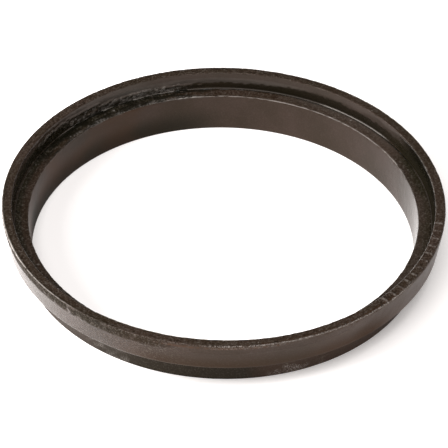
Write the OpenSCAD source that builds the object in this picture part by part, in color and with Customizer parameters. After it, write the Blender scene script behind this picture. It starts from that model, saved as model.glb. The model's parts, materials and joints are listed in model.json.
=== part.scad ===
// Flange riser ring: a cast-iron collar that takes a lid, on a sleeve that drops into the frame below.
// Millimetres. The origin is the centre of the foot, and +Z is the ring's axis.

/* [Lid recess] */
// Diameter of the lid that the recess takes
lid_d = 292; // [200:1:650]
// Gap around the lid, on the diameter
lid_gap = 1.6; // [1:0.1:4]
// Depth from the rim's flat top to the seat
recess_depth = 13.2; // [8:0.1:40]
// Width of the seat under the lid, from the recess wall inwards
seat_w = 10.7; // [9.5:0.1:20]

/* [Rim collar] */
// Width of the flat rim, from the mouth of the recess to the outer edge
rim_w = 7; // [5:0.1:15]
// How far the outer band leans in from the rim to its foot, on the radius
band_lean = 3.2; // [0:0.1:4]
// Thickness of the lip that carries the sleeve
lip_t = 4.4; // [3:0.1:10]

/* [Spigot sleeve] */
// Thickness of the flange that sits on the collar's lip
flange_t = 4.2; // [3:0.1:10]
// Height of the skirt below the outer band
skirt_h = 19.4; // [8:0.1:60]
// Thickness of the skirt at its foot
skirt_wall = 6.7; // [5:0.1:7.5]
// How far the inner wall leans in from the seat to the foot, on the radius
bore_lean = 1.8; // [1:0.1:3]

/* [Edges and joint] */
// Bevel on the cast edges
edge = 0.7; // [0.3:0.1:1]
// Width of the gap that the bedding fills, between the flange and its pocket
joint_gap = 0.8; // [0.5:0.1:1]
// How far the bedding lies below the seat
bead_sink = 0.3; // [0.1:0.1:1]

/* [Hidden] */
// Step between the recess wall and the flange's pocket
ledge_w = 0.8;
// The sleeve's neck inside the lip: how far it stands out from the skirt, and its clearance
neck_step = 1;
neck_gap = 0.2;

// Heights
band_z = skirt_h;
lip_z = band_z + lip_t;
seat_z = lip_z + flange_t;
top_z = seat_z + recess_depth;

// Radii, from the recess outwards and then inwards
recess_r = (lid_d + lid_gap) / 2;
mouth_r = recess_r + edge;
rim_r = mouth_r + rim_w;
pocket_r = recess_r - ledge_w;
flange_r = pocket_r - joint_gap;
seat_in_r = recess_r - seat_w;
foot_in_r = seat_in_r - bore_lean;
spigot_r = foot_in_r + skirt_wall;
neck_r = spigot_r + neck_step;
lip_r = neck_r + neck_gap;

// Radius of the outer band, and of the inner wall, at a height
function band_r(z) = rim_r - band_lean * (top_z - z) / (top_z - band_z);
function bore_r(z) = foot_in_r + bore_lean * z / seat_z;

// Sides of the round shapes
$fn = 240;

// Outer band, rim and recess wall, with the pocket and the lip that hold the sleeve
module rim_collar() {
    color([0.27, 0.24, 0.22])
    rotate_extrude()
    polygon([
        [lip_r, band_z],
        [band_r(band_z) - edge, band_z],
        [band_r(band_z + edge), band_z + edge],
        [band_r(top_z - edge), top_z - edge],
        [rim_r - edge, top_z],
        [mouth_r, top_z],
        [recess_r, top_z - edge],
        [recess_r, seat_z],
        [pocket_r, seat_z],
        [pocket_r, lip_z],
        [lip_r, lip_z]
    ]);
}

// Seat flange, tapered inner wall and straight skirt, dropped into the collar from above
module spigot_sleeve() {
    color([0.25, 0.23, 0.20])
    rotate_extrude()
    polygon([
        [bore_r(0) + edge, 0],
        [spigot_r - edge, 0],
        [spigot_r, edge],
        [spigot_r, band_z],
        [neck_r, band_z],
        [neck_r, lip_z],
        [flange_r, lip_z],
        [flange_r, seat_z],
        [seat_in_r + edge, seat_z],
        [bore_r(seat_z - edge), seat_z - edge],
        [bore_r(edge), edge]
    ]);
}

// Bitumen that beds the sleeve's flange in its pocket
module joint_bead() {
    color([0.07, 0.07, 0.05])
    rotate_extrude()
    translate([flange_r, lip_z])
    square([joint_gap, flange_t - bead_sink]);
}

rim_collar();
spigot_sleeve();
joint_bead();
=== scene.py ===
"""Flange riser ring: an asphalt-dipped cast-iron collar on a spigot sleeve, on a pale floor.

Every piece is a body of revolution built from its outline, with casting texture worked into the mesh.
Metres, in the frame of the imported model: +Z is the ring's axis and the foot stands on z = 0.
Angles round the ring are in degrees, anticlockwise from +X. An arc is (start, end, fade at each end).
"""

import json
import math
from types import SimpleNamespace

import bpy
import numpy as np
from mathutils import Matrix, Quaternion, Vector


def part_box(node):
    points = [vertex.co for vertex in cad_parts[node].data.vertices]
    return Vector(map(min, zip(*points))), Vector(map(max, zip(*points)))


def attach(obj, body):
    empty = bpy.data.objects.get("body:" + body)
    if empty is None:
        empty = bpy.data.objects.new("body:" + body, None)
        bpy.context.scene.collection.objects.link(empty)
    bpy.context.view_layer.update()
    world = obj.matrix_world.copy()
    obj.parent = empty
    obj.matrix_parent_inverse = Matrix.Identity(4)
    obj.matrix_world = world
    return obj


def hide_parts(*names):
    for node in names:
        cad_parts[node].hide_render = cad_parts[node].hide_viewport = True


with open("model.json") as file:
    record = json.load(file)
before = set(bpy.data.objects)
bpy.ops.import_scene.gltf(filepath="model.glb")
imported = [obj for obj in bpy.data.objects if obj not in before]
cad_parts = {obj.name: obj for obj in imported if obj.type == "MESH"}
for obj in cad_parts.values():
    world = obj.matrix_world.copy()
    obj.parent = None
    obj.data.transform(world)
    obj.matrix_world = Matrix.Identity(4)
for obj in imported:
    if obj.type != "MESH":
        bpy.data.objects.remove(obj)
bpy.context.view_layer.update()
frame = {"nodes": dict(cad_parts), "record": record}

MM = 0.001
SEED = 20                                           # with each mark's own number, fixes its noise
TURNS = 1440                                        # columns of points round every piece
CORNER_POINTS = 5                                   # points round each eased edge
SHARP_ANGLE = 50                                    # degrees, above which an edge isn't shaded smooth


# ---------------------------------------------------------------- sizes read from the frame

def ring_radius(node, height, pick):
    """Radius of a CAD node at a height: the pick (min or max) of its vertices there."""
    co = np.array([v.co for v in frame["nodes"][node].data.vertices], float)
    near = co[np.abs(co[:, 2] - height) < 0.05 * MM]
    return float(pick(np.hypot(near[:, 0], near[:, 1])))


MOUNTS = {m["name"]: m for m in frame["record"]["mounts"]}
collar_low, collar_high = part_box("rim_collar")
sleeve_low, sleeve_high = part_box("spigot_sleeve")
bead_low, bead_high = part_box("joint_bead")

TOP_Z = collar_high.z
BAND_Z = collar_low.z
SEAT_Z = sleeve_high.z
BEAD_Z = bead_high.z
LIP_Z = bead_low.z
FOOT_Z = sleeve_low.z
EDGE = 0.7 * MM                                     # the CAD's bevel on cast edges
NECK_STEP = 1 * MM                                  # how far the hidden neck stands out from the skirt

RIM_R = ring_radius("rim_collar", TOP_Z, np.max) + EDGE
BAND_FOOT_R = ring_radius("rim_collar", BAND_Z, np.max) + EDGE
LIP_R = ring_radius("rim_collar", BAND_Z, np.min)
RECESS_R = MOUNTS["lid_recess"]["dims"]["r_mm"] * MM
SPIGOT_R = MOUNTS["spigot"]["dims"]["r_mm"] * MM
FLANGE_R = ring_radius("spigot_sleeve", SEAT_Z, np.max)
SEAT_IN_R = ring_radius("spigot_sleeve", SEAT_Z, np.min) - EDGE
FOOT_IN_R = ring_radius("spigot_sleeve", FOOT_Z, np.min) - EDGE
NECK_R = SPIGOT_R + NECK_STEP
POCKET_R = ring_radius("joint_bead", LIP_Z, np.max)


# ---------------------------------------------------------------- outline and noise helpers

def arc_corner(before, corner, after, radius, count):
    """Points that round a corner of an outline, from one tangent point to the other."""
    a, c, b = (np.array(p[:2], float) for p in (before, corner, after))
    to_a, to_b = a - c, b - c
    len_a, len_b = np.linalg.norm(to_a), np.linalg.norm(to_b)
    to_a, to_b = to_a / len_a, to_b / len_b
    half = math.acos(np.clip(to_a @ to_b, -1, 1)) / 2
    reach = min(radius / math.tan(half), 0.45 * len_a, 0.45 * len_b)
    radius = reach * math.tan(half)
    middle = (to_a + to_b) / np.linalg.norm(to_a + to_b)
    centre = c + middle * radius / math.sin(half)
    start, end = c + to_a * reach - centre, c + to_b * reach - centre
    sweep = math.atan2(start[0] * end[1] - start[1] * end[0], start @ end)
    return [
        centre + np.array([
            start[0] * math.cos(t) - start[1] * math.sin(t),
            start[0] * math.sin(t) + start[1] * math.cos(t),
        ])
        for t in np.linspace(0, sweep, count)
    ]


def outline(corners):
    """Closed outline as points and outward normals.

    A corner is (radius, height, rounding, step): step is the spacing of points up to the next corner.
    """
    rounded = []
    for i, (r, z, rounding, _) in enumerate(corners):
        after = corners[(i + 1) % len(corners)]
        if rounding:
            rounded.append(arc_corner(corners[i - 1], (r, z), after, rounding, CORNER_POINTS))
        else:
            rounded.append([np.array([r, z], float)])
    points = []
    for i, here in enumerate(rounded):
        last = here[-1]
        way = rounded[(i + 1) % len(rounded)][0] - last
        parts = max(round(np.linalg.norm(way) / corners[i][3]), 1)
        points += here
        points += [last + way * k / parts for k in range(1, parts)]
    points = np.array(points)
    along = np.roll(points, -1, 0) - np.roll(points, 1, 0)
    along /= np.linalg.norm(along, axis=1)[:, None]
    normal = np.stack([along[:, 1], -along[:, 0]], 1)
    r, z = points.T
    if np.sum(r * np.roll(z, -1) - np.roll(r, -1) * z) < 0:
        normal = -normal
    return points, normal


def smooth_noise(shape, cell, size, seed):
    """Seeded noise that wraps both ways, blurred to a size (along, across) and scaled to unit spread."""
    white = np.random.default_rng(SEED * 1000 + seed).standard_normal(shape)
    f0 = np.fft.fftfreq(shape[0], cell[0])[:, None]
    f1 = np.fft.fftfreq(shape[1], cell[1])[None, :]
    soft = np.exp(-2 * (math.pi * f0 * size[0] / 2) ** 2 - 2 * (math.pi * f1 * size[1] / 2) ** 2)
    out = np.real(np.fft.ifft2(np.fft.fft2(white) * soft))
    return (out - out.mean()) / out.std()


def ramp(x, low, high):
    """0 below low, 1 above high, smooth between."""
    t = np.clip((x - low) / (high - low), 0, 1)
    return t * t * (3 - 2 * t)


def stripe(x, at, width):
    """1 where x is at a value, fading out over a width."""
    return np.exp(-((x - at) / width) ** 2)


class Ring:
    """A revolved outline as a grid of points, with displacement and painted masks, made into one mesh."""

    def __init__(self, name, corners):
        self.name = name
        self.points, self.normal = outline(corners)
        self.count = len(self.points)
        self.angle = np.linspace(0, 2 * math.pi, TURNS, endpoint=False)
        self.degrees = np.degrees(self.angle)[:, None]
        self.radius = self.points[None, :, 0]
        self.height = self.points[None, :, 1]
        self.shape = (TURNS, self.count)
        length = np.linalg.norm(np.roll(self.points, -1, 0) - self.points, axis=1)
        self.cell = (2 * math.pi * self.points[:, 0].mean() / TURNS, length.mean())
        self.offset = np.zeros(self.shape)
        self.lift = np.zeros(self.shape)
        self.masks = {}

    def noise(self, along, across, seed):
        """Noise on the grid, of a size in mm along and across the ring."""
        return smooth_noise(self.shape, self.cell, (along * MM, across * MM), seed)

    def turn_from(self, at):
        """Plan angle away from a direction, 0 to 180 degrees."""
        return np.abs((self.degrees - at + 180) % 360 - 180)

    def arc(self, start, end, fade):
        """1 between two plan angles, fading out over fade degrees at each end."""
        half = (end - start) / 2
        return 1 - ramp(self.turn_from((start + end) / 2), half, half + fade)

    def near(self, r, z, width):
        """1 at a place on the outline, fading out over a width."""
        return np.exp(-((self.radius - r) ** 2 + (self.height - z) ** 2) / width ** 2)

    def paint(self, name, value, most=1):
        """Keeps a mask for the material, held between 0 and most."""
        self.masks[name] = np.clip(value, 0, most)

    def build_mesh(self):
        r = self.points[None, :, 0] + self.offset * self.normal[None, :, 0]
        z = self.points[None, :, 1] + self.offset * self.normal[None, :, 1] + self.lift
        a = self.angle[:, None]
        co = np.stack([r * np.cos(a), r * np.sin(a), z], 2).reshape(-1, 3)
        i = np.arange(TURNS)[:, None]
        j = np.arange(self.count)[None, :]
        i2, j2 = (i + 1) % TURNS, (j + 1) % self.count
        quads = np.stack([
            i * self.count + j, i2 * self.count + j, i2 * self.count + j2, i * self.count + j2,
        ], 2).reshape(-1, 4)
        mesh = bpy.data.meshes.new(self.name)
        mesh.from_pydata(co.tolist(), [], quads.tolist())
        mesh.validate()
        mesh.shade_smooth()
        mesh.set_sharp_from_angle(angle=math.radians(SHARP_ANGLE))
        for key, value in self.masks.items():
            layer = mesh.attributes.new(key, "FLOAT", "POINT")
            layer.data.foreach_set("value", np.broadcast_to(value, self.shape).astype(np.float32).ravel())
        return mesh

    def place(self, slot, node, material):
        """Puts the piece in the scene, in place of a CAD node."""
        obj = bpy.data.objects.new(self.name, self.build_mesh())
        bpy.context.scene.collection.objects.link(obj)
        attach(obj, "root")
        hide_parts(node)
        obj.data.materials.append(material)


# ---------------------------------------------------------------- material helpers

class Graph:
    """Short calls for building a node material."""

    def __init__(self, name):
        self.material = bpy.data.materials.new(name)
        self.material.use_nodes = True
        self.tree = self.material.node_tree
        self.tree.nodes.clear()
        self.out = self.tree.nodes.new("ShaderNodeOutputMaterial")
        self.coords = self.tree.nodes.new("ShaderNodeTexCoord").outputs["Object"]

    def put(self, socket, value):
        if isinstance(value, bpy.types.NodeSocket):
            self.tree.links.new(value, socket)
        elif isinstance(value, tuple) and len(value) == 3 and socket.type == "RGBA":
            socket.default_value = (*value, 1)
        else:
            socket.default_value = value

    def noise(self, size, detail=3, rough=0.5):
        node = self.tree.nodes.new("ShaderNodeTexNoise")
        node.inputs["Scale"].default_value = 1 / size
        node.inputs["Detail"].default_value = detail
        node.inputs["Roughness"].default_value = rough
        self.tree.links.new(self.coords, node.inputs["Vector"])
        return node.outputs["Fac"]

    def mask(self, name):
        node = self.tree.nodes.new("ShaderNodeAttribute")
        node.attribute_name = name
        return node.outputs["Fac"]

    def split(self, vector):
        node = self.tree.nodes.new("ShaderNodeSeparateXYZ")
        self.put(node.inputs[0], vector)
        return node.outputs["X"], node.outputs["Y"]

    def math(self, operation, a, b=0.0, clamp=False):
        node = self.tree.nodes.new("ShaderNodeMath")
        node.operation = operation
        node.use_clamp = clamp
        self.put(node.inputs[0], a)
        self.put(node.inputs[1], b)
        return node.outputs[0]

    def remap(self, value, low, high, to_low=0.0, to_high=1.0):
        node = self.tree.nodes.new("ShaderNodeMapRange")
        node.interpolation_type = "SMOOTHSTEP"
        for name, v in (("From Min", low), ("From Max", high), ("To Min", to_low), ("To Max", to_high)):
            node.inputs[name].default_value = v
        self.put(node.inputs["Value"], value)
        return node.outputs["Result"]

    def mix(self, factor, a, b):
        node = self.tree.nodes.new("ShaderNodeMix")
        node.data_type = "RGBA"
        self.put(node.inputs["Factor"], factor)
        self.put(node.inputs["A"], a)
        self.put(node.inputs["B"], b)
        return node.outputs["Result"]

    def bump(self, height, strength, distance):
        node = self.tree.nodes.new("ShaderNodeBump")
        node.inputs["Strength"].default_value = strength
        node.inputs["Distance"].default_value = distance
        self.put(node.inputs["Height"], height)
        return node.outputs["Normal"]

    def finish(self, **inputs):
        shader = self.tree.nodes.new("ShaderNodeBsdfPrincipled")
        for name, value in inputs.items():
            self.put(shader.inputs[name.replace("_", " ")], value)
        self.tree.links.new(shader.outputs["BSDF"], self.out.inputs["Surface"])
        return self.material


# ---------------------------------------------------------------- materials

BLACK_BROWN = (0.025, 0.0172, 0.0108)
PLUM = (0.038, 0.0252, 0.0192)
# olive paint, also used for painted shade
OLIVE = (0.0135, 0.0108, 0.0048)
PIT = (0.006, 0.0045, 0.0028)
# grey of the scaling, also used for painted sheen
GREY_SCALE_AND_SHEEN = (0.088, 0.079, 0.070)
# bare metal, also used for painted highlights and glints
WEAR_AND_HIGHLIGHT = (0.42, 0.38, 0.35)
RUST = (0.046, 0.020, 0.008)
# bitumen, also used for painted shade
TAR_AND_SHADE = (0.005, 0.0045, 0.0025)
TAR_LUMP = (0.012, 0.011, 0.006)
WARM_GLOSS = (1.0, 0.77, 0.67)                      # asphalt paint tints what it reflects head on
WHITE_PAINT = ((0.86, 0.83, 0.82), (0.90, 0.87, 0.86))      # its darker and paler patches
TABLE_LIGHT = (1.0, 0.96, 0.94)

PAINT_ROUGHNESS = 0.17
MATTE_ADDS, TAR_TAKES = 0.5, 0.10                   # what a full matte mask and a full mask of bitumen and painted shade do to the roughness
SAND = 1.1 * MM                                     # grain of the sand mould
SPECK_SIZE = 0.8 * MM                                     # grain of the bare chips and of the painted glints


def iron_colour(g, mottle):
    """Mottled brown-black paint, then the painted zones over it, with bare chips, painted glints and painted
    highlights on top.
    """
    specks = g.noise(SAND, detail=2, rough=0.6)
    colour = g.mix(g.remap(mottle, 0.32, 0.68), BLACK_BROWN, PLUM)
    colour = g.mix(g.mask("olive"), colour, OLIVE)
    dark_specks = g.math("MULTIPLY", g.mask("grain"), g.remap(specks, 0.50, 0.60, 0.0, 0.95))
    light_specks = g.math("MULTIPLY", g.mask("grain"), g.remap(specks, 0.45, 0.36, 0.0, 0.65))
    colour = g.mix(dark_specks, colour, PIT)
    colour = g.mix(light_specks, colour, GREY_SCALE_AND_SHEEN)
    colour = g.mix(g.mask("scale_and_sheen"), colour, GREY_SCALE_AND_SHEEN)
    colour = g.mix(g.mask("rust"), colour, RUST)
    colour = g.mix(g.mask("tar_and_shade"), colour, TAR_AND_SHADE)
    chips = g.math("MULTIPLY", g.mask("chips_and_glints"), g.remap(g.noise(SPECK_SIZE, detail=1), 0.50, 0.58))
    return g.mix(g.math("MAXIMUM", g.mask("wear_and_highlight"), chips), colour, WEAR_AND_HIGHLIGHT)


def iron_roughness(g, mottle):
    """Satin paint, duller where it is matte, and glossier where bitumen lies and where shade is painted."""
    rough = g.math("ADD", PAINT_ROUGHNESS, g.remap(mottle, 0.3, 0.7, -0.02, 0.03))
    rough = g.math("ADD", rough, g.math("MULTIPLY", g.mask("matte"), MATTE_ADDS))
    return g.math("SUBTRACT", rough, g.math("MULTIPLY", g.mask("tar_and_shade"), TAR_TAKES), clamp=True)


def iron_relief(g):
    """Sand grain where the casting is rough, and the slow waviness of dipped paint everywhere."""
    sand = g.noise(SAND, detail=2, rough=0.6)
    peel = g.noise(6 * MM, detail=2)
    height = g.math("ADD", g.math("MULTIPLY", sand, g.mask("grain")), g.math("MULTIPLY", peel, 0.25))
    return g.bump(height, 0.7, 0.4 * MM)


def coated_iron(name):
    """Sand-cast iron under asphalt paint, with matte scaling, rust, bitumen and bare chips, and painted
    highlights, glints, sheen and shade.
    """
    g = Graph(name)
    mottle = g.noise(30 * MM, detail=4)
    return g.finish(
        Base_Color=iron_colour(g, mottle), Roughness=iron_roughness(g, mottle), Normal=iron_relief(g),
        Specular_IOR_Level=0.23, Specular_Tint=WARM_GLOSS,
    )


def bitumen():
    """Glossy black bedding, under dull brown paint where it was painted over."""
    g = Graph("bitumen")
    lump = g.noise(2.5 * MM, detail=3)
    colour = g.mix(g.remap(lump, 0.4, 0.7), TAR_AND_SHADE, TAR_LUMP)
    colour = g.mix(g.mask("painted"), colour, BLACK_BROWN)
    rough = g.math("ADD", g.remap(lump, 0.3, 0.7, 0.16, 0.34), g.math("MULTIPLY", g.mask("painted"), 0.35))
    return g.finish(Base_Color=colour, Roughness=rough, Normal=g.bump(lump, 0.4, 0.5 * MM))


# ---------------------------------------------------------------- marks shared by the castings

POOL = (100, 152, 10)                               # arc where bitumen ran out over the seat


def flecks(ring, seed):
    """Sparse small bright grains."""
    return ramp(ring.noise(1.3, 1.2, seed), 2.7, 3.3)


def glints(ring, seed):
    """Crowded fine painted glints, stretched along the ring."""
    return ramp(ring.noise(1.2, 0.6, seed), 1.0, 1.9)


# ---------------------------------------------------------------- collar

RIBS_FROM, RIBS_TO, RIB_COUNT = 316, 351, 12
RIB_HALF, RIB_FLANK, RIB_RISE = 0.40 * MM, 0.65 * MM, 0.42 * MM
BLOB_AT, BLOB_SIZE = 139, 1.5 * MM                  # a drip of bitumen low on the recess wall


def collar_zones(ring):
    """The collar's surfaces, and the places on them that more than one mask needs."""
    r, z = ring.radius, ring.height
    on = SimpleNamespace()
    on.top = ramp(z, TOP_Z - 0.4 * MM, TOP_Z - 0.05 * MM)
    on.band = ramp(r, BAND_FOOT_R - MM, BAND_FOOT_R - 0.5 * MM) * (1 - on.top)
    # darker low on the front of the band: painted shade
    on.low_band = (1 - ramp(z, BAND_Z + 2 * MM, BAND_Z + 18 * MM)) * on.band * ring.arc(256, 308, 14)
    on.wall = (r < RECESS_R + 0.6 * MM) * (z > SEAT_Z - MM)
    on.foot_of_wall = on.wall * (z < SEAT_Z + 6 * MM)
    # the right of the recess wall, darkened as painted shade
    on.right_wall = on.wall * (1 - on.top) * ring.arc(-20, 22, 14)
    on.high = ramp(z, SEAT_Z, TOP_Z - 2 * MM)
    on.ledge = ring.near(RECESS_R - 0.5 * MM, SEAT_Z, 0.35 * MM)
    # the back left of the recess wall, where the painted shade is darkest
    on.dark_side = ring.arc(148, 176, 10)
    on.rust_line = stripe(r, RIM_R - 1.6 * MM, 0.5 * MM) * on.top * ring.arc(282, 318, 8)
    return on


def collar_flaking(ring, on, flake):
    """The zones whose limits are ragged: the wall's foot, darkened as painted shade, flakes on it, and crust
    on the band.
    """
    # painted shade: the wall's foot is darkened up to this height
    stain_top = 6.2 - 2.1 * ring.arc(84, 112, 18) + 1.5 * ring.arc(135, 176, 15)
    on.low_wall = (1 - ramp(ring.height - SEAT_Z - (stain_top + 0.35 * flake) * MM, 0, MM)) * on.wall
    on.flaky = on.low_wall * ring.arc(108, 132, 8) * ramp(flake, -1.4, 0.8)
    # painted shade, deepest at the back right of the wall's foot
    on.deep = on.low_wall * ring.arc(42, 84, 10) * (1 - on.ledge)
    under_rim = ramp(ring.height, TOP_Z - 9 * MM, TOP_Z - 5 * MM) * on.band
    on.crust = under_rim * ramp(flake, -2.6, -0.2) * ring.arc(190, 250, 14)


def ribs(ring):
    """Plain raised bars across the rim, at even spacing."""
    rise = np.zeros(ring.shape)
    for at in np.linspace(RIBS_FROM, RIBS_TO, RIB_COUNT):
        away = np.radians(ring.turn_from(at)) * ring.radius
        rise += 1 - ramp(away, RIB_HALF, RIB_HALF + RIB_FLANK)
    length = ramp(ring.radius, RECESS_R + 1.3 * MM, RECESS_R + 2.0 * MM)
    length = length * (1 - ramp(ring.radius, RIM_R - 1.7 * MM, RIM_R - 1.0 * MM))
    return rise * length * (ring.height > TOP_Z - 0.01 * MM)


def shape_collar(ring, on):
    """Casting swell and sand, chips knocked off the rim edges, flash along the left edge and raised ribs."""
    r, z = ring.radius, ring.height
    seen = ramp(r, RECESS_R - 0.2 * MM, RECESS_R) * ramp(z, BAND_Z - MM, BAND_Z + MM)
    ring.offset += seen * (0.08 * ring.noise(60, 20, 1) + 0.035 * ring.noise(9, 4, 2)) * MM
    ring.offset += seen * (0.012 + 0.040 * on.top) * ring.noise(1.9, 1.9, 3) * MM
    chips = ring.noise(1.4, 1.2, 4)
    worn_front = 0.6 + 0.9 * ring.arc(262, 318, 10)
    ring.offset -= ring.near(RIM_R, TOP_Z, MM) * 0.35 * worn_front * ramp(chips, 0.3, 1.5) * MM
    ring.offset -= ring.near(RECESS_R, TOP_Z, MM) * 0.25 * ramp(chips, 0.4, 1.6) * MM
    flash = stripe(r, RIM_R - 0.7 * MM, 0.30 * MM) * on.top * ring.arc(176, 236, 14)
    ring.offset += 0.20 * flash * MM
    ring.offset += RIB_RISE * ribs(ring)
    return chips


def rim_highlights(ring, chips):
    """Painted highlights along the rim's two edges, with painted glare on its left bevel."""
    mouth = ring.near(RECESS_R + 0.4 * MM, TOP_Z, 0.45 * MM)
    mouth_shine = 0.12 * ring.arc(20, 120, 20) + 0.42 * ring.arc(322, 376, 8)
    left_edge = ring.near(RIM_R - 0.5 * MM, TOP_Z, 0.3 * MM) * ring.arc(174, 220, 16)
    left_bevel = ring.near(RIM_R - 0.35 * MM, TOP_Z - 0.1 * MM, 0.45 * MM) * ring.arc(182, 204, 6)
    front_line = ring.near(RIM_R - 0.1 * MM, TOP_Z - 0.2 * MM, 0.35 * MM) * ring.arc(286, 324, 8)
    wear_and_highlight = 0.9 * left_edge * ramp(chips, -2.6, -0.6) + mouth * mouth_shine * ramp(chips, -0.8, 1.0)
    return wear_and_highlight + 0.9 * left_bevel * ramp(chips, -2.0, 0.2) + 0.35 * front_line


def wear_and_highlight_collar(ring, on, chips):
    """Painted highlights on the rim's edges, the wall's ledge and the band's foot; bright metal on the ribs;
    scattered bright grains; and painted glints at the wall's foot.
    """
    wear_and_highlight = rim_highlights(ring, chips)
    wear_and_highlight = wear_and_highlight + on.ledge * (0.85 * ring.arc(40, 58, 5) + 0.20 * ring.arc(60, 140, 8))
    wear_and_highlight = wear_and_highlight + 0.30 * ring.near(BAND_FOOT_R, BAND_Z, 0.5 * MM) * ring.arc(215, 262, 12)
    wear_and_highlight = wear_and_highlight + 0.4 * on.top * flecks(ring, 7) + 0.25 * ribs(ring) * ramp(chips, -1.2, 0.8)
    wear_and_highlight = wear_and_highlight + 0.30 * glints(ring, 23) * on.foot_of_wall * ring.arc(108, 138, 8)
    ring.paint("wear_and_highlight", wear_and_highlight)


def chips_and_glints_collar(ring, on, flake):
    """Paint off in grains round the rim's outer edge, most at the front, and painted glints on the bitumen.
    """
    edge = ring.near(RIM_R - 0.2 * MM, TOP_Z, 0.65 * MM) * (0.15 + 0.6 * ring.arc(270, 322, 6))
    second_row = stripe(ring.height, TOP_Z - 1.7 * MM, 0.4 * MM) * on.band * ring.arc(269, 284, 4)
    ragged = on.foot_of_wall * ring.arc(106, 136, 8) * ramp(flake, -0.6, 1.0)
    ring.paint("chips_and_glints", edge + 0.8 * second_row + 0.22 * ragged)


def scale_and_sheen_collar(ring, on):
    """Grey: a painted sheen high on the recess wall, scaling flakes at its foot, and a trace on the crust.
    """
    # painted sheen: the upper recess wall made lighter
    wall_sheen = 0.14 * ring.arc(34, 134, 14) + 0.24 * ring.arc(118, 138, 8)
    below_top = 1 - ramp(ring.height, SEAT_Z + 8 * MM, SEAT_Z + 9.5 * MM)
    wall_sheen = wall_sheen + 0.28 * ring.arc(76, 116, 16) * below_top
    upper_wall = (1 - on.low_wall) * on.wall * (1 - on.top)
    ring.paint("scale_and_sheen", 0.04 * on.crust + upper_wall * wall_sheen + 0.50 * on.flaky)
    ring.offset += on.crust * 0.16 * ring.noise(1.4, 1.2, 9) * MM
    ring.offset += on.crust * 0.08 * MM


def rust_collar(ring, on, chips):
    """Brown: thin lines on the rim and under its edge, the front of the band, and a trace on the rim."""
    below = stripe(ring.height, TOP_Z - 1.9 * MM, 0.7 * MM) * on.band * ring.arc(258, 284, 6)
    brown = 0.15 + 0.30 * (1 - ramp(ring.height, BAND_Z + MM, BAND_Z + 16 * MM))
    brown = (brown + 0.25 * ring.arc(300, 340, 12)) * on.band * ring.arc(250, 340, 12)
    ring.paint("rust", (on.rust_line + below) * ramp(chips, -1.0, 0.4) + brown + 0.12 * on.top)


def olive_collar(ring, on):
    """Dark olive: painted shade on the wall's foot and right side, on the low band and in a dark line on the
    rim; olive paint on the crust and parts of the rim.
    """
    dark_line = stripe(ring.radius, RIM_R - 1.7 * MM, 0.45 * MM) * on.top * ring.arc(176, 240, 10)
    rim_arcs = ring.arc(176, 238, 12) + ring.arc(6, 64, 12) + 0.8 * ring.arc(94, 126, 8)
    foot = on.low_wall * (0.65 + 0.35 * on.dark_side) * (1 - on.ledge)
    olive = foot + dark_line + on.right_wall + 0.9 * on.crust + on.low_band
    ring.paint("olive", olive + 0.35 * on.top * rim_arcs)


def tar_and_shade_collar(ring, on):
    """Bitumen run and dripped on the recess wall; painted shade, dark and glossy, low on the wall at the
    back right and on its right side; and a dark line on the rim.
    """
    runs = ring.noise(7, 1.6, 6)
    pool = ring.arc(*POOL) * ramp(runs, -0.6, 0.5) * on.low_wall
    blob_z = (ring.height - (SEAT_Z + 2.2 * MM)) / BLOB_SIZE
    blob_a = np.radians(ring.degrees - BLOB_AT) * RECESS_R / BLOB_SIZE
    blob = np.exp(-(blob_z ** 2 + blob_a ** 2)) * on.wall
    ring.offset += (pool * (0.30 + 0.09 * ring.noise(1.2, 0.9, 8)) + blob * 0.9) * MM
    # painted shade, dark and glossy, on the wall's foot and right side
    tar_and_shade = 0.35 * pool * (1 - 0.8 * on.flaky) + 0.5 * on.deep + 0.6 * on.rust_line
    ring.paint("tar_and_shade", tar_and_shade + on.right_wall * (0.15 + 0.95 * on.high))


def roughen_collar(ring, on):
    """Where the paint is matte, and where sand grain shows through it."""
    matte = 0.4 * on.top + 1.5 * on.crust + (0.12 + 0.35 * ring.arc(312, 338, 10)) * on.band
    matte = matte + 0.8 * on.low_band + 0.25 * on.deep + 0.6 * on.right_wall * (1 - on.high)
    ring.paint("matte", matte, most=1.5)
    grain = 0.10 + (0.9 - 0.30 * ring.arc(-10, 60, 12)) * on.top
    grain = grain + (0.15 + 0.55 * ring.arc(200, 252, 12)) * on.band
    ring.paint("grain", grain + 0.6 * on.low_wall * on.dark_side + 0.6 * on.crust)


def paint_collar(ring, on, chips):
    """All the collar's masks, with the relief of its crust and bitumen."""
    wear_and_highlight_collar(ring, on, chips)
    flake = ring.noise(2.2, 1.5, 5)
    collar_flaking(ring, on, flake)
    chips_and_glints_collar(ring, on, flake)
    scale_and_sheen_collar(ring, on)
    rust_collar(ring, on, chips)
    olive_collar(ring, on)
    tar_and_shade_collar(ring, on)
    roughen_collar(ring, on)


def make_collar():
    """Outer band, flat rim and recess wall, with the lip underneath that hangs on the sleeve."""
    ring = Ring("rim_collar_casting", [
        (BAND_FOOT_R, BAND_Z, 1.1 * MM, 1.3 * MM),
        (RIM_R, TOP_Z, 0.8 * MM, 0.55 * MM),
        (RECESS_R + 0.4 * MM, TOP_Z, 0.8 * MM, 0.8 * MM),
        (RECESS_R, SEAT_Z, 0, 0.4 * MM),
        (POCKET_R, SEAT_Z, 0, 2 * MM),
        (POCKET_R, LIP_Z, 0, 2 * MM),
        (LIP_R, LIP_Z, 0, 2.2 * MM),
        (LIP_R, BAND_Z, 0.4 * MM, 4 * MM),
    ])
    on = collar_zones(ring)
    chips = shape_collar(ring, on)
    paint_collar(ring, on, chips)
    ring.place("collar_iron", "rim_collar", coated_iron("collar_iron"))


# ---------------------------------------------------------------- sleeve

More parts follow.
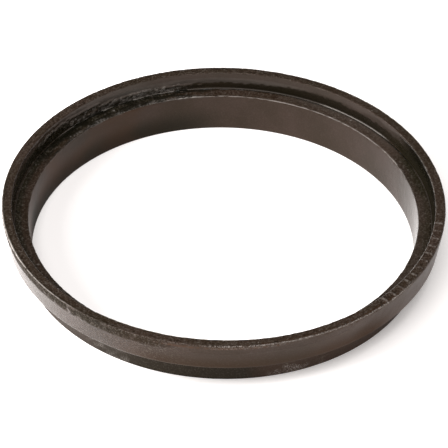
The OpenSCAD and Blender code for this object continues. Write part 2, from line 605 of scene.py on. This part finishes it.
def sleeve_zones(ring):
    """The sleeve's surfaces, and the places on them that more than one mask needs."""
    r, z = ring.radius, ring.height
    on = SimpleNamespace()
    hidden = (r > SPIGOT_R + 0.2 * MM) & (z < SEAT_Z - 0.5 * MM)
    on.free = (1.0 - hidden) * ramp(z, FOOT_Z, FOOT_Z + 2 * MM)
    on.seat = ramp(z, SEAT_Z - 0.6 * MM, SEAT_Z - 0.1 * MM) * on.free
    on.skirt = ramp(r, SPIGOT_R - 2 * MM, SPIGOT_R) * (1 - on.seat)
    on.bore = (1 - on.seat) * (r < SEAT_IN_R + 0.3 * MM)
    on.inner_half = 1 - ramp(r, SEAT_IN_R + 1.8 * MM, SEAT_IN_R + 3.6 * MM)
    on.outer_half = ramp(r, SEAT_IN_R + 3.0 * MM, SEAT_IN_R + 6.5 * MM)
    low_bore = 1 - ramp(z, FOOT_Z + 3 * MM, FOOT_Z + 20 * MM)
    # painted shade low in the bore, at the back left
    on.stain = ring.arc(104, 172, 16) * low_bore * on.bore
    return on


def shape_sleeve(ring, on):
    """Casting swell, sandy seat and chips knocked off its inner edge; nothing goes below the foot."""
    ring.offset += on.free * (0.05 * ring.noise(70, 25, 11) + 0.02 * ring.noise(8, 6, 12)) * MM
    ring.offset += (on.seat * 0.05 + on.free * 0.012) * ring.noise(1.6, 1.6, 13) * MM
    chips = ring.noise(3.5, 2, 14)
    ring.offset -= ring.near(SEAT_IN_R, SEAT_Z, MM) * 0.22 * ramp(chips, 0.2, 1.6) * MM
    return chips


def wear_and_highlight_sleeve(ring, on, chips):
    """A painted highlight along the seat's inner edge, scattered bright grains on the seat, and painted
    glints on its inner half.
    """
    inner_edge = ring.near(SEAT_IN_R + 0.2 * MM, SEAT_Z, 0.30 * MM) * ramp(chips, -1.8, 0.6)
    wear_and_highlight = inner_edge * (0.05 + 0.75 * ring.arc(28, 102, 10)) + 0.4 * on.seat * flecks(ring, 17)
    wear_and_highlight = wear_and_highlight + 0.20 * on.seat * on.inner_half * glints(ring, 24) * ring.arc(104, 140, 8)
    ring.paint("wear_and_highlight", wear_and_highlight)


def olive_sleeve(ring, on):
    """Dark olive: the skirt, most at its front; parts of the seat, darker on their outer half; and painted
    shade low in the bore.
    """
    by_joint = 0.8 * ring.arc(150, 210, 12) + 0.5 * ring.arc(-14, 22, 10) + 0.5 * ring.arc(14, 26, 6)
    stained = ring.arc(108, 150, 12) * (0.5 + 0.5 * on.outer_half) + on.outer_half * by_joint
    front = 0.25 + 0.75 * ring.arc(238, 276, 10)
    ring.paint("olive", on.skirt * front + on.seat * (0.12 + stained) + on.stain)


def scale_sleeve(ring, on, scuffs):
    """Grey scaling in two scuffed patches low on the skirt, and a pale stretch of the seat."""
    low = 1 - ramp(ring.height, 6 * MM, 11 * MM)
    patches = ring.arc(286, 296, 5) + 0.5 * ring.arc(233, 243, 4)
    on.scuffed = ramp(scuffs, -0.4, 1.2) * low * patches * on.skirt
    pale = (0.10 + 0.16 * on.outer_half) * on.seat * ring.arc(36, 66, 10)
    ring.paint("scale_and_sheen", 0.35 * on.scuffed + pale)


def tar_and_shade_sleeve(ring, on):
    """Bitumen pooled on the seat, the dark line of the joint, and painted shade, dark and glossy, low in the
    bore.
    """
    runs = ring.noise(6, 1.4, 16)
    pool = ring.arc(*POOL) * ramp(runs, -0.9, 0.2) * on.seat
    ring.offset += pool * (0.30 + 0.16 * ring.noise(1.8, 1.4, 18)) * MM
    joint = ring.near(FLANGE_R, SEAT_Z, 0.7 * MM) * ring.arc(28, 146, 10)
    ring.paint("tar_and_shade", (0.75 + 0.20 * on.outer_half) * pool + 0.7 * joint + 0.6 * on.stain)


def chips_and_glints_sleeve(ring, on, scuffs):
    """Painted glints inside the pooled bitumen, and paint off in grains in the skirt's scuffs."""
    ragged = on.seat * on.inner_half * ring.arc(102, 140, 8) * ramp(scuffs, -1.2, 0.8)
    ring.paint("chips_and_glints", 0.22 * ragged + 0.45 * on.scuffed)


def rust_sleeve(ring, on):
    """Brown: clouds at the left of the bore, the right front of the skirt, and two stretches of the seat."""
    clouds = 0.35 + 0.25 * ring.noise(14, 8, 19) + 0.30 * ring.arc(160, 200, 12)
    bore = clouds * ring.arc(120, 200, 12) * on.bore
    skirt = 0.45 * on.skirt * ring.arc(284, 332, 8)
    seat_arcs = (1 - on.outer_half) * ring.arc(145, 205, 12) + ring.arc(34, 104, 10)
    ring.paint("rust", bore + skirt + 0.18 * on.seat * seat_arcs)


def roughen_sleeve(ring, on):
    """Where the paint is matte, and where sand grain shows through it."""
    skirt = on.skirt * (0.6 + 0.3 * ring.arc(250, 276, 8))
    film = on.bore * ring.arc(110, 184, 20)
    ring.paint("matte", 0.4 * on.seat + skirt + 0.6 * film + 0.6 * on.stain, most=1.2)
    ring.paint("grain", 0.10 + on.seat * (0.9 - 0.40 * ring.arc(-30, 36, 12)) + 0.3 * on.skirt)


def paint_sleeve(ring, on, chips):
    """All the sleeve's masks, with the relief of the bitumen on it."""
    wear_and_highlight_sleeve(ring, on, chips)
    olive_sleeve(ring, on)
    scuffs = ring.noise(4, 2, 15)
    scale_sleeve(ring, on, scuffs)
    tar_and_shade_sleeve(ring, on)
    chips_and_glints_sleeve(ring, on, scuffs)
    rust_sleeve(ring, on)
    roughen_sleeve(ring, on)


def make_sleeve():
    """Seat, tapered inner wall and straight skirt."""
    ring = Ring("spigot_sleeve_casting", [
        (FOOT_IN_R, FOOT_Z, 0.8 * MM, 2.5 * MM),
        (SPIGOT_R, FOOT_Z, 0.9 * MM, 1.4 * MM),
        (SPIGOT_R, BAND_Z, 0, 1 * MM),
        (NECK_R, BAND_Z, 0, 2.2 * MM),
        (NECK_R, LIP_Z, 0, 1.6 * MM),
        (FLANGE_R, LIP_Z, 0, 2 * MM),
        (FLANGE_R, SEAT_Z, 0.4 * MM, 0.9 * MM),
        (SEAT_IN_R, SEAT_Z, 0.6 * MM, 1.5 * MM),
    ])
    on = sleeve_zones(ring)
    chips = shape_sleeve(ring, on)
    paint_sleeve(ring, on, chips)
    ring.place("sleeve_iron", "spigot_sleeve", coated_iron("sleeve_iron"))


# ---------------------------------------------------------------- bedding

HEAP_RISE = 1.1 * MM                                # how far the bead rises where it ran out
PAINT_FILL = 0.25 * MM                              # and where it is painted over


def make_bead():
    """Bitumen in the joint, sunk below the seat, and heaped over it where it ran out."""
    ring = Ring("joint_bead_bitumen", [
        (FLANGE_R, LIP_Z, 0, 1 * MM),
        (POCKET_R, LIP_Z, 0, 1.3 * MM),
        (POCKET_R, BEAD_Z, 0.25 * MM, 0.3 * MM),
        (FLANGE_R, BEAD_Z, 0.25 * MM, 1.3 * MM),
    ])
    top = ramp(ring.height, BEAD_Z - 0.4 * MM, BEAD_Z)
    bumps = ring.noise(5, 3, 21)
    heap = ring.arc(*POOL) * ramp(bumps, -0.6, 1.0)
    painted = 1 - ring.arc(28, 156, 10)
    ring.lift += top * (0.05 * MM * bumps + HEAP_RISE * heap + PAINT_FILL * painted)
    ring.paint("painted", painted)
    ring.place("bitumen", "joint_bead", bitumen())


make_collar()
make_sleeve()
make_bead()


# ---------------------------------------------------------------- stage

TABLE_GLOW = 0.30                                   # outside the ring, all round
LEFT_GLOW = 1.4                                     # added outside it, from none at x = 0 to full at LEFT_X: a painted pool of light from the left
LEFT_X = -0.15
INNER_GLOW = (0.15, 0.55)                           # inside it, at the left and at the right; less at the left is a painted shadow of the ring's left wall
INNER_X = 0.10                                      # the inner glow changes from -INNER_X to INNER_X
FAR_GLOW = 1.0                                      # added far out, rising over FAR_REACH
FAR_REACH = (0.5, 1.0)


def floor_glow(g):
    """Light from the table itself: more at the outer left, a painted pool of light; less inside at the left,
    a painted shadow of the ring; and again more far out.
    """
    across, along = g.split(g.coords)
    reach_squared = g.math("ADD", g.math("MULTIPLY", across, across), g.math("MULTIPLY", along, along))
    reach = g.math("SQRT", reach_squared)
    outside = g.remap(reach, FOOT_IN_R, SPIGOT_R)
    left = g.math("MULTIPLY", g.remap(across, LEFT_X, 0.0, LEFT_GLOW, 0.0), outside)
    inside = g.math("SUBTRACT", 1.0, outside)
    inner = g.math("MULTIPLY", g.remap(across, -INNER_X, INNER_X, *INNER_GLOW), inside)
    far = g.remap(reach, *FAR_REACH, 0.0, FAR_GLOW)
    table = g.math("ADD", g.math("ADD", g.math("MULTIPLY", outside, TABLE_GLOW), far), inner)
    return g.math("ADD", table, left)


def make_floor():
    """Pale light table under the ring."""
    size = 40 * RIM_R
    corners = [(-size, -size, 0), (size, -size, 0), (size, size, 0), (-size, size, 0)]
    mesh = bpy.data.meshes.new("floor")
    mesh.from_pydata(corners, [], [(0, 1, 2, 3)])
    obj = bpy.data.objects.new("floor", mesh)
    bpy.context.scene.collection.objects.link(obj)
    g = Graph("floor_paint")
    obj.data.materials.append(g.finish(
        Base_Color=g.mix(g.noise(0.4, detail=2), *WHITE_PAINT), Roughness=0.9,
        Emission_Color=TABLE_LIGHT, Emission_Strength=floor_glow(g),
    ))


def soft_light(name, place, aim, size, watts):
    """A square softbox that faces a point."""
    data = bpy.data.lights.new(name, "AREA")
    data.shape = "SQUARE"
    data.size = size
    data.energy = watts
    obj = bpy.data.objects.new(name, data)
    obj.location = place
    obj.rotation_euler = (Vector(aim) - Vector(place)).to_track_quat("-Z", "Y").to_euler()
    bpy.context.scene.collection.objects.link(obj)


def make_lights():
    """Overhead softbox, a key light at the left front, a panel at the left, and dim surroundings."""
    soft_light("overhead", place=(0, -0.7, 1.8), aim=(0, 0, 0), size=1.4, watts=37)
    soft_light("key", place=(-1.3, -0.7, 1.1), aim=(0, 0, 0.02), size=0.6, watts=16)
    soft_light("left_panel", place=(-1.5, 0.3, 0.6), aim=(0, 0, 0.02), size=0.8, watts=16)
    world = bpy.data.worlds.new("studio")
    world.use_nodes = True
    background = world.node_tree.nodes["Background"]
    background.inputs["Color"].default_value = (1, 0.98, 0.96, 1)
    background.inputs["Strength"].default_value = 0.14
    bpy.context.scene.world = world


ELEVATION, ROLL = math.radians(38.88), math.radians(1.015)
DISTANCE = 12.39 * RIM_R
AIM_RIGHT, AIM_DROP = 0.0033 * RIM_R, 0.1495 * RIM_R      # from the middle of the rim


def make_camera():
    """A long lens well back, looking down at 39 degrees, as a product picture is taken."""
    place = Vector((0, -DISTANCE * math.cos(ELEVATION), TOP_Z + DISTANCE * math.sin(ELEVATION)))
    aim = Vector((AIM_RIGHT, 0, TOP_Z - AIM_DROP))
    data = bpy.data.cameras.new("camera")
    data.lens = 221.1
    data.sensor_width = 36
    data.clip_end = 20
    obj = bpy.data.objects.new("camera", data)
    obj.location = place
    obj.rotation_mode = "QUATERNION"
    obj.rotation_quaternion = (aim - place).to_track_quat("-Z", "Y") @ Quaternion((0, 0, 1), ROLL)
    bpy.context.scene.collection.objects.link(obj)
    bpy.context.scene.camera = obj


make_floor()
make_lights()
make_camera()
bpy.context.scene.view_settings.view_transform = "Standard"
